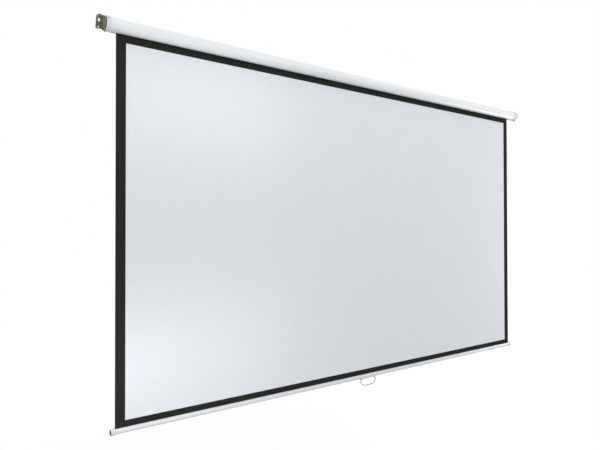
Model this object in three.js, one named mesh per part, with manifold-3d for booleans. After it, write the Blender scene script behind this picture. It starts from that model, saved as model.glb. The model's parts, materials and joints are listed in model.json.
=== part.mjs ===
// Manual pull-down projector screen for a wall, shown pulled down.
// Millimetres. +X runs along the casing, -Y faces the room and +Z is up.
// The origin is on the wall, behind the casing, level with the roller and at the middle of the picture.

import * as THREE from 'three';
import { mergeVertices } from 'three/addons/utils/BufferGeometryUtils.js';
import Module from 'manifold-3d';

const wasm = await Module();
wasm.setup();

// Clearances
const seatGap = 0.3;
const runningGap = 0.3;
const overrun = 2;

// Picture and fabric
const pictureHeight = 1494;
const pictureAspectShare = 16 / 9;
const sideBorder = 41;
const pictureDrop = 28.7;
const bottomBorder = 26.4;
const fabricThickness = 0.4;
const borderThickness = 0.15;
const pictureWidth = pictureHeight * pictureAspectShare;
const fabricHalf = pictureWidth / 2 + sideBorder;

// Casing
const casingRadius = 27.2;
const casingWall = 1.2;
const wallToAxis = 32.2;
const backRibWidth = 14;
const slotWidth = 8;
const slotLipDrop = 9;
const leftEndClearance = 28;
const rightEndClearance = 36.5;

// End caps
const capWidth = 21.5;
const capSleeveWall = 3.2;
const capRimProud = 1.1;
const capRimWidth = 3;
const capEndWall = 3;
const capBossRadius = 9;
const capBossReach = 7;

// Roller
const rollerRadius = 15;
const rollerWall = 1;
const rollerOverhang = 4;
const wrapThickness = 0.5;
const plugFlange = 2.5;
const plugReach = 18;

// Spindle, spring and idle pin
const spindleRadius = 3.5;
const idlePinRadius = 4;
const idlePinReach = 16;
const peenedHeadProud = 2;
const peenedHeadHeight = 1.2;
const anchorWidth = 12;
const anchorRadius = 11;
const springRadius = 9;
const springWireRadius = 1.1;
const springLength = 280;
const springTurns = 22;
const springPlugWidth = 16;

// Ratchet and pawls
const ratchetRadius = 7;
const ratchetWidth = 2.5;
const notchCount = 4;
const pawlPinRadius = 1.2;
const pawlPinHead = 0.8;
const pawlBossWall = 1;
const pawlLift = THREE.MathUtils.degToRad(20);

// Bottom bar
const barRadius = 10.9;
const barWall = 1.3;
const barGroove = 3;
const barOverhang = 17.5;
const ferruleLength = 16.5;
const ferruleWall = 1.55;
const barPlugFlange = 3;
const barPlugReach = 12;
const barPlugDish = 0.8;
const barPlugRecess = 0.6;
const hemRodRadius = 2.4;

// Pull handle and its saddle
const saddleHalf = 50;
const saddleWall = 1.85;
const saddleLug = 4;
const lugRadius = 4;
const pivotStandoff = 1.3;
const handleHalf = 54;
const handleDepth = 36;
const handleWireRadius = 2;
const handleBend = 4;
const handleSquareness = 2.8;
const handleHook = 3;

// Facet counts
const casingSteps = 56;
const roundSteps = 36;
const pinSteps = 18;
const screwSteps = 12;
const handleSteps = 72;
const handleSides = 8;
const handleBendSteps = 4;
const handleBowSteps = 28;
const springTurnSteps = 8;
const springSides = 5;

// Finishes
function paint(color, roughness, metalness = 0) {
  return new THREE.MeshStandardMaterial({ color, roughness, metalness });
}

const whitePaint = paint(0xe9edf1, 0.35);
const whitePlastic = paint(0xe6e9ec, 0.45);
const bracketSteel = paint(0x6b6a5b, 0.5, 0.6);
const zincSteel = paint(0xa9adad, 0.4, 0.8);
const springSteel = paint(0x55565a, 0.4, 0.9);
const blackPlastic = paint(0x2c2c2b, 0.6);
const whiteFabric = paint(0xe2e6ea, 0.9);
const blackFabric = paint(0x2d2d2b, 0.9);
const whiteAluminium = paint(0xd9dde2, 0.35, 0.2);
const greyNylon = paint(0x9da3a6, 0.6);

// Mesh work: every geometry is welded, freed of slivers on its axis and turned to face outwards
function closed(geometry) {
  const bare = geometry.clone();
  bare.deleteAttribute('normal');
  bare.deleteAttribute('uv');
  const welded = mergeVertices(bare);
  const place = welded.attributes.position;
  const index = [];
  let volume = 0;
  const corner = [new THREE.Vector3(), new THREE.Vector3(), new THREE.Vector3()];
  for (let i = 0; i < welded.index.count; i += 3) {
    const [a, b, c] = [0, 1, 2].map((k) => welded.index.getX(i + k));
    if (a === b || b === c || c === a) continue;
    index.push(a, b, c);
    corner.forEach((v, k) => v.fromBufferAttribute(place, [a, b, c][k]));
    volume += corner[0].dot(corner[1].cross(corner[2]));
  }
  welded.setIndex(volume < 0 ? index.reverse() : index);
  return welded;
}

function toSolid(geometry) {
  const body = closed(geometry);
  return new wasm.Manifold(new wasm.Mesh({
    numProp: 3,
    vertProperties: Float32Array.from(body.attributes.position.array),
    triVerts: Uint32Array.from(body.index.array),
  }));
}

function toGeometry(solid) {
  const made = solid.getMesh();
  const geometry = new THREE.BufferGeometry();
  geometry.setAttribute('position', new THREE.BufferAttribute(made.vertProperties, made.numProp));
  geometry.setIndex(new THREE.BufferAttribute(made.triVerts, 1));
  return geometry;
}

function cut(base, ...tools) {
  return toGeometry(tools.reduce((solid, tool) => solid.subtract(toSolid(tool)), toSolid(base)));
}

function join(...pieces) {
  return toGeometry(pieces.map(toSolid).reduce((all, piece) => all.add(piece)));
}

// Shapes along the casing: a box, a rod, a turned profile and an outline drawn in (Y, Z)
function block(x, y, z) {
  const size = [x, y, z].map(([low, high]) => high - low);
  const middle = [x, y, z].map(([low, high]) => (low + high) / 2);
  return new THREE.BoxGeometry(...size).translate(...middle);
}

function rod(radius, from, to, steps = roundSteps) {
  return turned([[from, 0], [from, radius], [to, radius], [to, 0]], steps);
}

function turned(profile, steps = roundSteps) {
  const points = profile.map(([x, radius]) => new THREE.Vector2(radius, x));
  const yToX = new THREE.Matrix4().set(0, 1, 0, 0, 0, 0, 1, 0, 1, 0, 0, 0, 0, 0, 0, 1);
  return new THREE.LatheGeometry(points, steps).applyMatrix4(yToX);
}

function sleeve(inner, outer, from, to, steps = roundSteps) {
  return turned([[from, inner], [from, outer], [to, outer], [to, inner], [from, inner]], steps);
}

function alongX(outline, from, to, curveSegments = roundSteps) {
  const zToX = new THREE.Matrix4().set(0, 0, 1, 0, 1, 0, 0, 0, 0, 1, 0, 0, 0, 0, 0, 1);
  const options = { depth: to - from, bevelEnabled: false, curveSegments };
  return new THREE.ExtrudeGeometry(outline, options).applyMatrix4(zToX).translate(from, 0, 0);
}

// A pin that stands across the casing, square to its axis
function uprightRod(radius, x, low, high, steps = screwSteps) {
  return new THREE.CylinderGeometry(radius, radius, high - low, steps)
    .rotateX(Math.PI / 2).translate(x, 0, (low + high) / 2);
}

function outlineOf(points) {
  return new THREE.Shape(points.map(([y, z]) => new THREE.Vector2(y, z)));
}

function roundSection(radius, sides) {
  const corners = Array.from({ length: sides }, (_, i) => (2 * Math.PI * i) / sides);
  return outlineOf(corners.map((a) => [radius * Math.cos(a), radius * Math.sin(a)]));
}

function wireAlong(route, radius, sides, steps) {
  const options = { steps, extrudePath: route, bevelEnabled: false };
  return new THREE.ExtrudeGeometry(roundSection(radius, sides), options);
}

function piece(name, geometry, material) {
  const mesh = new THREE.Mesh(closed(geometry), material);
  mesh.name = name;
  return mesh;
}

// The two ends: the spring end on the right is the longer one
const leftEnd = { name: 'left', side: -1, capStart: fabricHalf + leftEndClearance };
const rightEnd = { name: 'right', side: 1, capStart: fabricHalf + rightEndClearance };
const ends = [leftEnd, rightEnd];
const tubeInCap = capWidth - capEndWall - seatGap;
const capBandRadius = casingRadius + seatGap + capSleeveWall;
const capRimRadius = capBandRadius + capRimProud;

// Where the fabric hangs, measured from the roller's axis
const wrapRadius = rollerRadius + seatGap + wrapThickness;
const borderFace = wrapRadius + seatGap;
const fabricFront = borderFace + borderThickness;
const fabricBack = fabricFront + fabricThickness;
const fabricMiddle = (fabricFront + fabricBack) / 2;
const pictureTop = -casingRadius - pictureDrop;
const pictureBottom = pictureTop - pictureHeight;
const barZ = pictureBottom - bottomBorder - barRadius;

// Each cap has one screw above, the left one's further forward, and one underneath. Their turns about
// the casing's axis run from the top towards the room.
const capScrew = { inset: 6.5, radius: 1.2, headRadius: 2.6, headHeight: 0.7, length: 6 };
const capScrewTurns = {
  left: { top: THREE.MathUtils.degToRad(60), bottom: Math.PI },
  right: { top: THREE.MathUtils.degToRad(18), bottom: Math.PI },
};
const capScrewX = capWidth - capScrew.inset;

// In an end's group the room's side of the left end is +Y, so its turns run the other way
function capScrewHoles(end, x, way) {
  const hole = uprightRod(capScrew.radius + seatGap, x, casingRadius / 2, capRimRadius + overrun);
  return Object.values(capScrewTurns[end.name]).map((turn) => hole.clone().rotateX(way * turn));
}

// The casing is a white tube with a slot for the fabric, a lip down the slot's rear edge and a flat
// rib along its back
function casingTube() {
  const left = -leftEnd.capStart - tubeInCap;
  const right = rightEnd.capStart + tubeInCap;
  const inner = casingRadius - casingWall;
  const tube = rod(casingRadius, left, right, casingSteps);
  const openX = [-leftEnd.capStart + capRimWidth, rightEnd.capStart - capRimWidth];
  const rib = block(openX, [inner, wallToAxis], [-backRibWidth / 2, backRibWidth / 2]);
  const bore = rod(inner, left - overrun, right + overrun, casingSteps);
  const slotY = [fabricMiddle - slotWidth / 2, fabricMiddle + slotWidth / 2];
  const slot = block([left - overrun, right + overrun], slotY, [-casingRadius - overrun, 0]);
  const lipTop = -Math.sqrt(inner ** 2 - slotY[1] ** 2);
  const lip = block(openX, [slotY[1], slotY[1] + casingWall], [lipTop - slotLipDrop, lipTop]);
  const holes = ends.flatMap((end) => capScrewHoles(end, end.side * (end.capStart + capScrewX), 1));
  const body = join(cut(join(tube, rib), slot), lip);
  return piece('casing_tube', cut(body, bore, ...holes), whitePaint);
}

// Two rivets clamp each wall bracket to the end wall of its cap
const rivet = { radius: 2, headRadius: 3.4, headHeight: 0.9 };
const rivetHeights = [capRimRadius / 2, -capRimRadius / 2];

function rivetHoles(from, to) {
  return rivetHeights.map((z) => rod(rivet.radius + seatGap, from, to, screwSteps).translate(0, 0, z));
}

// In an end's group, x runs outwards from the cap's inner edge. The cap slides over the tube,
// and its boss carries the roller's pin or spindle.
function endCap(end, shaftRadius) {
  const inner = casingRadius + seatGap;
  const wallStart = capWidth - capEndWall;
  const bossStart = wallStart - capBossReach;
  const shaftHole = shaftRadius + seatGap;
  const profile = [
    [0, inner],
    [0, capBandRadius],
    [capRimProud, capRimRadius],
    [capRimWidth - capRimProud, capRimRadius],
    [capRimWidth, capBandRadius],
    [capWidth - capRimWidth, capBandRadius],
    [capWidth - capRimWidth + capRimProud, capRimRadius],
    [capWidth - capRimProud, capRimRadius],
    [capWidth, capBandRadius],
    [capWidth, shaftHole],
    [bossStart, shaftHole],
    [bossStart, capBossRadius],
    [wallStart, capBossRadius],
    [wallStart, inner],
    [0, inner],
  ];
  const screwHoles = capScrewHoles(end, capScrewX, end.side);
  const holes = [...screwHoles, ...rivetHoles(wallStart - overrun, capWidth + overrun)];
  return piece(`end_cap_${end.name}`, cut(turned(profile, casingSteps), ...holes), whitePlastic);
}

function capScrews(end) {
  const seat = capBandRadius + seatGap;
  const shank = uprightRod(capScrew.radius, capScrewX, seat - capScrew.length, seat + capScrew.headHeight);
  const head = uprightRod(capScrew.headRadius, capScrewX, seat, seat + capScrew.headHeight);
  const screw = join(shank, head);
  return Object.entries(capScrewTurns[end.name]).map(([place, turn]) => {
    return piece(`cap_screw_${end.name}_${place}`, screw.clone().rotateX(end.side * turn), zincSteel);
  });
}

// A wall bracket is one bent sheet: a plate over the cap's end face, and an ear on the wall. The ear
// rises to a point and widens towards its foot; the plate ends in a tip below the cap.
const bracket = {
  thickness: 2,
  earTopWidth: 21.5,
  earFootWidth: 24.9,
  apexZ: 44.2,
  apexAcross: 10.2,
  shoulderZ: 38.4,
  shoulderAcross: 17,
  bendTopZ: 42.4,
  cornerZ: 37.4,
  cornerRound: 2.5,
  footZ: -15.5,
  footRound: 7,
  plateRadius: 31.2,
  plateFrontTop: THREE.MathUtils.degToRad(147),
  plateFrontFoot: THREE.MathUtils.degToRad(247),
  tipFront: -9.5,
  tipBack: 0,
  tipZ: -35.5,
  tipBackZ: -34,
};
const keyhole = { across: 11.6, low: 13.6, high: 27, wide: 9.4, narrow: 4.4 };
const fixingHole = { across: 13.4, z: -8.4, radius: 3 };

function earOutline() {
  const b = bracket;
  const outline = new THREE.Shape();
  outline.moveTo(0, b.footZ);
  outline.lineTo(0, b.bendTopZ);
  outline.lineTo(b.apexAcross, b.apexZ);
  outline.lineTo(b.shoulderAcross, b.shoulderZ);
  outline.lineTo(b.earTopWidth - b.cornerRound, b.cornerZ);
  outline.quadraticCurveTo(b.earTopWidth, b.cornerZ, b.earTopWidth, b.cornerZ - b.cornerRound);
  outline.lineTo(b.earFootWidth, b.footZ + b.footRound);
  outline.quadraticCurveTo(b.earFootWidth, b.footZ, b.earFootWidth - b.footRound, b.footZ);
  outline.closePath();
  return outline;
}

function plateOutline() {
  const b = bracket;
  const front = [Math.cos, Math.sin].map((f) => b.plateRadius * f(b.plateFrontTop));
  const outline = new THREE.Shape();
  outline.moveTo(wallToAxis, b.bendTopZ);
  outline.lineTo(...front);
  outline.absarc(0, 0, b.plateRadius, b.plateFrontTop, b.plateFrontFoot, false);
  outline.quadraticCurveTo(b.tipFront, b.tipZ, b.tipBack, b.tipBackZ);
  outline.quadraticCurveTo(wallToAxis / 2, (b.tipBackZ + b.footZ) / 2, wallToAxis, b.footZ);
  outline.closePath();
  return outline;
}

// An outline in (x, Z), as thick as a stretch of Y
function acrossWall(outline, [from, to]) {
  const options = { depth: to - from, bevelEnabled: false, curveSegments: screwSteps / 2 };
  return new THREE.ExtrudeGeometry(outline, options).rotateX(Math.PI / 2).translate(0, to, 0);
}

function wallBracket(end, shaftRadius) {
  const b = bracket;
  const start = capWidth + seatGap;
  const through = [wallToAxis - b.thickness - overrun, wallToAxis + overrun];
  const plate = alongX(plateOutline(), start, start + b.thickness, screwSteps);
  const ear = acrossWall(earOutline(), [wallToAxis - b.thickness, wallToAxis]).translate(start, 0, 0);
  const k = keyhole;
  const keyOutline = outlineOf([
    [k.across - k.wide / 2, k.low],
    [k.across + k.wide / 2, k.low],
    [k.across + k.narrow / 2, k.high],
    [k.across - k.narrow / 2, k.high],
  ]);
  const cuts = [
    acrossWall(keyOutline, through).translate(start, 0, 0),
    acrossWall(roundSection(fixingHole.radius, screwSteps), through)
      .translate(start + fixingHole.across, 0, fixingHole.z),
    rod(shaftRadius + seatGap, start - overrun, start + b.thickness + overrun, pinSteps),
    ...rivetHoles(start - overrun, start + b.thickness + overrun),
  ];
  const body = cut(join(plate, ear), ...cuts).scale(1, end.side, 1);
  return piece(`wall_bracket_${end.name}`, body, bracketSteel);
}

function bracketRivets(end) {
  const inside = capWidth - capEndWall - seatGap;
  const outside = capWidth + seatGap + bracket.thickness + seatGap;
  const profile = [
    [inside - rivet.headHeight, 0],
    [inside - rivet.headHeight, rivet.headRadius],
    [inside, rivet.headRadius],
    [inside, rivet.radius],
    [outside, rivet.radius],
    [outside, rivet.headRadius],
    [outside + rivet.headHeight / 2, rivet.headRadius],
    [outside + rivet.headHeight, rivet.headRadius / 2],
    [outside + rivet.headHeight, 0],
  ];
  return ['upper', 'lower'].map((place, i) => {
    const shape = turned(profile, screwSteps).translate(0, 0, rivetHeights[i]);
    return piece(`bracket_rivet_${end.name}_${place}`, shape, bracketSteel);
  });
}

// A fixed shaft peened over the bracket plate, running inwards from there
function peenedShaft(name, radius, innerEnd) {
  const face = capWidth + seatGap + bracket.thickness + seatGap;
  const profile = [
    [innerEnd, 0],
    [innerEnd, radius],
    [face, radius],
    [face, radius + peenedHeadProud],
    [face + peenedHeadHeight / 2, radius + peenedHeadProud],
    [face + peenedHeadHeight, radius],
    [face + peenedHeadHeight, 0],
  ];
  return piece(name, turned(profile, pinSteps), zincSteel);
}

// Stations along the spring end, measured from the picture's middle
const rollerEnd = fabricHalf + rollerOverhang;
const flangeStart = rollerEnd + seatGap;
const flangeEnd = flangeStart + plugFlange;
const pawlStart = flangeEnd + runningGap;
const pawlEnd = pawlStart + ratchetWidth;
const anchorEnd = flangeStart - plugReach - runningGap;
const anchorStart = anchorEnd - anchorWidth;
const springStart = anchorStart - seatGap - springWireRadius;
const springEnd = springStart - springLength;
const springPlugEnd = springEnd - springWireRadius - seatGap;
const springPlugStart = springPlugEnd - springPlugWidth;
const plugRadius = rollerRadius - rollerWall - seatGap;

function idlePin() {
  return peenedShaft('idle_pin', idlePinRadius, rollerEnd - idlePinReach - leftEnd.capStart);
}

function springSpindle() {
  const tip = (springPlugStart + springPlugEnd) / 2;
  return peenedShaft('spring_spindle', spindleRadius, tip - rightEnd.capStart);
}

function springAnchor() {
  const body = sleeve(spindleRadius + seatGap, anchorRadius, anchorStart, anchorEnd);
  return piece('spring_anchor', body, greyNylon);
}

class SpringLine extends THREE.Curve {
  getPoint(t, target = new THREE.Vector3()) {
    const turn = 2 * Math.PI * springTurns * t;
    const [y, z] = [Math.cos(turn), Math.sin(turn)].map((share) => share * springRadius);
    return target.set(springStart - springLength * t, y, z);
  }
}

// The spring winds round the spindle on open turns
function torsionSpring() {
  const gap = springLength / springTurns - 2 * springWireRadius;
  console.log('least gap between the spring turns, mm:', gap.toFixed(1));
  const wire = wireAlong(new SpringLine(), springWireRadius, springSides, springTurns * springTurnSteps);
  return piece('torsion_spring', wire, springSteel);
}

// The ratchet and the pawls are drawn as shares of the ratchet's radius, with a pawl down in the top notch
const pawlPivotShares = [1.486, 0.886];
const [pawlPivotY, pawlPivotZ] = pawlPivotShares.map((share) => share * ratchetRadius);
const notchShares = [[-0.22, 1.1], [-0.22, 0.71], [0.23, 0.71], [0.69, 0.84], [0.69, 1.1]];
const pawlArmShares = [
  [-0.171, 0.786],
  [0.171, 0.786],
  [0.2, 1.086],
  [0.6, 1.0],
  [1.0, 0.9],
  [1.486, 1.2],
  [-0.171, 1.4],
  [-0.257, 1.286],
];

function ratchetWheel() {
  const outline = outlineOf(notchShares.map(([y, z]) => [y * ratchetRadius, z * ratchetRadius]));
  const notch = alongX(outline, pawlStart - overrun, pawlEnd + overrun);
  const turns = Array.from({ length: notchCount }, (_, i) => (2 * Math.PI * i) / notchCount);
  const notches = turns.map((turn) => notch.clone().rotateX(turn));
  const wheel = sleeve(spindleRadius + seatGap, ratchetRadius, pawlStart, pawlEnd);
  return piece('ratchet_wheel', cut(wheel, ...notches), zincSteel);
}

// A pawl is drawn about its own pivot and stands lifted off the ratchet at rest
function pawl(name) {
  const arm = outlineOf(pawlArmShares.map(([y, z]) => {
    return [y * ratchetRadius - pawlPivotY, z * ratchetRadius - pawlPivotZ];
  }));
  const boss = rod(pawlPinRadius + runningGap + pawlBossWall, pawlStart, pawlEnd, pinSteps);
  const hole = rod(pawlPinRadius + runningGap, pawlStart - overrun, pawlEnd + overrun, pinSteps);
  const body = cut(join(alongX(arm, pawlStart, pawlEnd), boss), hole);
  const mesh = piece(name, body, zincSteel);
  mesh.rotation.x = -pawlLift;
  return mesh;
}

function pawlPins() {
  const head = pawlEnd + runningGap;
  const headRadius = pawlPinRadius + pawlBossWall;
  const profile = [
    [flangeStart, 0],
    [flangeStart, pawlPinRadius],
    [head, pawlPinRadius],
    [head, headRadius],
    [head + pawlPinHead, headRadius],
    [head + pawlPinHead, 0],
  ];
  return [['upper', 1], ['lower', -1]].map(([place, half]) => {
    const pin = turned(profile, screwSteps).translate(0, half * pawlPivotY, half * pawlPivotZ);
    return piece(`${place}_pawl_pin`, pin, zincSteel);
  });
}

// A flanged plug in the roller's end that turns on its shaft
function rollerPlug(shaftRadius) {
  const bore = shaftRadius + runningGap;
  const start = flangeStart - plugReach;
  return turned([
    [start, bore],
    [start, plugRadius],
    [flangeStart, plugRadius],
    [flangeStart, rollerRadius],
    [flangeEnd, rollerRadius],
    [flangeEnd, bore],
    [start, bore],
  ]);
}

function idlePlug() {
  const mesh = piece('idle_plug', rollerPlug(idlePinRadius), greyNylon);
  mesh.rotation.z = Math.PI;
  return mesh;
}

function ratchetPlug() {
  const hole = rod(pawlPinRadius + seatGap, flangeStart - seatGap, flangeEnd + overrun, screwSteps);
  const holes = [1, -1].map((half) => hole.clone().translate(0, half * pawlPivotY, half * pawlPivotZ));
  return piece('ratchet_plug', cut(rollerPlug(spindleRadius), ...holes), greyNylon);
}

function springPlug() {
  const body = sleeve(spindleRadius + runningGap, plugRadius, springPlugStart, springPlugEnd);
  return piece('spring_plug', body, greyNylon);
}

function rollerTube() {
  const tube = sleeve(rollerRadius - rollerWall, rollerRadius, -rollerEnd, rollerEnd);
  return piece('roller_tube', tube, zincSteel);
}

function fabricWraps() {
  const wraps = sleeve(rollerRadius + seatGap, wrapRadius, -fabricHalf, fabricHalf);
  return piece('fabric_wraps', wraps, blackFabric);
}

// The hem sleeve holds a rod inside the bar's groove, and the fabric ends above it
const hemInner = hemRodRadius + seatGap;
const hemOuter = hemInner + fabricThickness;
const hemZ = barRadius - barWall - seatGap - hemOuter;
const fabricFoot = barZ + hemZ + hemOuter + seatGap;

function screenFabric() {
  const sheet = block([-fabricHalf, fabricHalf], [fabricFront, fabricBack], [fabricFoot, 0]);
  return piece('screen_fabric', sheet, whiteFabric);
}

function blackBorder() {
  const layer = block([-fabricHalf, fabricHalf], [borderFace, fabricFront], [fabricFoot, 0]);
  const pictureX = [-pictureWidth / 2, pictureWidth / 2];
  const through = [borderFace - overrun, fabricFront + overrun];
  const picture = block(pictureX, through, [pictureBottom, pictureTop]);
  return piece('black_border', cut(layer, picture), blackFabric);
}

// The bar hangs in its own group, whose origin is on the bar's axis
const barEnd = fabricHalf + barOverhang;
const barPlugFace = barEnd - barPlugRecess;
const barTubeEnd = barPlugFace - barPlugFlange - seatGap;
const saddleInner = barRadius + seatGap;
const saddleOuter = saddleInner + saddleWall;
const saddleRivet = { x: 30, radius: 1.5, headRadius: 2.8, headHeight: 0.8, length: 6 };

function saddleRivetHoles() {
  const radius = saddleRivet.radius + seatGap;
  return [1, -1].map((half) => uprightRod(radius, half * saddleRivet.x, -saddleOuter - overrun, 0));
}

function bottomBar() {
  const tube = rod(barRadius, -barTubeEnd, barTubeEnd);
  const bore = rod(barRadius - barWall, -barTubeEnd - overrun, barTubeEnd + overrun);
  const grooveX = [-barTubeEnd - overrun, barTubeEnd + overrun];
  const groove = block(grooveX, [-barGroove / 2, barGroove / 2], [0, barRadius + overrun]);
  return piece('bottom_bar', cut(tube, bore, groove, ...saddleRivetHoles()), whiteAluminium);
}

function hemRod() {
  const body = rod(hemRodRadius, -fabricHalf, fabricHalf, pinSteps);
  return piece('hem_rod', body.translate(0, 0, hemZ), zincSteel);
}

function hemSleeve() {
  const hem = sleeve(hemInner, hemOuter, -fabricHalf, fabricHalf, pinSteps);
  return piece('fabric_hem', hem.translate(0, 0, hemZ), blackFabric);
}

function barFerrule(end) {
  const start = barEnd - ferruleLength;
  const outer = barRadius + seatGap + ferruleWall;
  const profile = [
    [start, barRadius + seatGap],
    [start, outer],
    [barEnd - ferruleWall / 2, outer],
    [barEnd, outer - ferruleWall / 2],
    [barEnd, barRadius + seatGap],
    [start, barRadius + seatGap],
  ];
  return piece(`bar_ferrule_${end.name}`, turned(profile), whitePlastic);
}

function barPlug(end) {
  const flange = barPlugFace - barPlugFlange;
  const spigot = barRadius - barWall - seatGap;
  const profile = [
    [flange - barPlugReach, 0],
    [flange - barPlugReach, spigot],
    [flange, spigot],
    [flange, barRadius],
    [barPlugFace, barRadius],
    [barPlugFace, spigot],
    [barPlugFace - barPlugDish, spigot - barPlugDish],
    [barPlugFace - barPlugDish, 0],
  ];
  return piece(`bar_plug_${end.name}`, turned(profile), blackPlastic);
}

// The saddle clips round the lower front of the bar, with a lug at each end for the handle's wire
const saddleFrontTop = THREE.MathUtils.degToRad(165);
const saddleRearFoot = THREE.MathUtils.degToRad(320);
const pivotAngle = THREE.MathUtils.degToRad(218);
const pivotRadius = saddleOuter + pivotStandoff + handleWireRadius;
const pivotY = pivotRadius * Math.cos(pivotAngle);
const pivotZ = pivotRadius * Math.sin(pivotAngle);

function handleSaddle() {
  const shell = new THREE.Shape();
  shell.absarc(0, 0, saddleOuter, saddleFrontTop, saddleRearFoot, false);
  shell.absarc(0, 0, saddleInner, saddleRearFoot, saddleFrontTop, true);
  shell.closePath();
  const neck = outlineOf([
    [0, -lugRadius],
    [pivotRadius, -lugRadius],
    [pivotRadius, lugRadius],
    [0, lugRadius],
  ]);
  const lugPlaces = [[-saddleHalf, -saddleHalf + saddleLug], [saddleHalf - saddleLug, saddleHalf]];
  const lugs = lugPlaces.flatMap(([from, to]) => [
    alongX(neck, from, to).rotateX(pivotAngle),
    rod(lugRadius, from, to, pinSteps).translate(0, pivotY, pivotZ),
  ]);
  const through = [-saddleHalf - overrun, saddleHalf + overrun];
  const wireHole = rod(handleWireRadius + runningGap, ...through, pinSteps).translate(0, pivotY, pivotZ);
  const barRoom = rod(saddleInner, ...through);
  const body = join(alongX(shell, -saddleHalf, saddleHalf, screwSteps), ...lugs);
  return piece('handle_saddle', cut(body, barRoom, wireHole, ...saddleRivetHoles()), whitePlastic);
}

function saddleRivets() {
  const seat = -saddleOuter - seatGap;
  return ends.map((end) => {
    const x = end.side * saddleRivet.x;
    const foot = seat - saddleRivet.headHeight;
    const shank = uprightRod(saddleRivet.radius, x, foot, seat + saddleRivet.length);
    const head = uprightRod(saddleRivet.headRadius, x, foot, seat);
    return piece(`saddle_rivet_${end.name}`, join(shank, head), zincSteel);
  });
}

// The handle is one wire, bent to a D whose ends turn in through the lugs
function pullHandle() {
  const hookEnd = saddleHalf - saddleLug - handleHook;
  const rightHalf = [[hookEnd, 0], [(hookEnd + handleHalf - handleBend) / 2, 0]];
  for (let i = 0; i <= handleBendSteps; i += 1) {
    const a = (Math.PI / 2) * (i / handleBendSteps);
    const [across, up] = [Math.sin(a), Math.cos(a)].map((share) => share * handleBend);
    rightHalf.push([handleHalf - handleBend + across, up - handleBend]);
  }
  const bow = [];
  for (let i = 1; i < handleBowSteps; i += 1) {
    const a = Math.PI * (i / handleBowSteps);
    const x = handleHalf * Math.sign(Math.cos(a)) * Math.abs(Math.cos(a)) ** (2 / handleSquareness);
    bow.push([x, -handleBend - (handleDepth - handleBend) * Math.sin(a) ** (2 / handleSquareness)]);
  }
  const leftHalf = rightHalf.map(([x, z]) => [-x, z]).reverse();
  const line = [...rightHalf, ...bow, ...leftHalf].map(([x, z]) => new THREE.Vector3(x, 0, z));
  const route = new THREE.CatmullRomCurve3(line, false, 'centripetal');
  return piece('pull_handle', wireAlong(route, handleWireRadius, handleSides, handleSteps), zincSteel);
}

// Assembly: the head holds still, the roller turns in it, and the bar hangs below with its handle
function endGroup(end, shaft, shaftRadius) {
  const group = new THREE.Group();
  group.position.x = end.side * end.capStart;
  group.rotation.z = end.side < 0 ? Math.PI : 0;
  group.add(endCap(end, shaftRadius), ...capScrews(end));
  group.add(wallBracket(end, shaftRadius), ...bracketRivets(end), shaft);
  return group;
}

function pawlGroup(name, halfTurn) {
  const turnedGroup = new THREE.Group();
  const pivot = new THREE.Group();
  turnedGroup.rotation.x = halfTurn;
  pivot.position.set(0, pawlPivotY, pawlPivotZ);
  pivot.add(pawl(name));
  turnedGroup.add(pivot);
  return turnedGroup;
}

function rollerGroup() {
  const group = new THREE.Group();
  group.add(rollerTube(), fabricWraps(), idlePlug(), ratchetPlug(), springPlug(), ...pawlPins());
  group.add(pawlGroup('upper_pawl', 0), pawlGroup('lower_pawl', Math.PI));
  return group;
}

function headGroup() {
  const group = new THREE.Group();
  group.position.y = -wallToAxis;
  group.add(endGroup(leftEnd, idlePin(), idlePinRadius));
  group.add(endGroup(rightEnd, springSpindle(), spindleRadius));
  group.add(casingTube(), ratchetWheel(), springAnchor(), torsionSpring());
  group.add(screenFabric(), blackBorder(), rollerGroup());
  return group;
}

function barGroup() {
  const group = new THREE.Group();
  group.position.set(0, fabricMiddle - wallToAxis, barZ);
  group.add(bottomBar(), hemRod(), hemSleeve(), handleSaddle(), ...saddleRivets());
  for (const end of ends) {
    const endPieces = new THREE.Group();
    endPieces.rotation.z = end.side < 0 ? Math.PI : 0;
    endPieces.add(barFerrule(end), barPlug(end));
    group.add(endPieces);
  }
  const pivot = new THREE.Group();
  pivot.position.set(0, pivotY, pivotZ);
  pivot.add(pullHandle());
  group.add(pivot);
  return group;
}

const screen = new THREE.Group();
screen.name = 'projector_screen';
screen.add(headGroup(), barGroup());

export default screen;
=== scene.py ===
import json
import math

import bmesh
import bpy
from mathutils import Matrix, Vector


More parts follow.
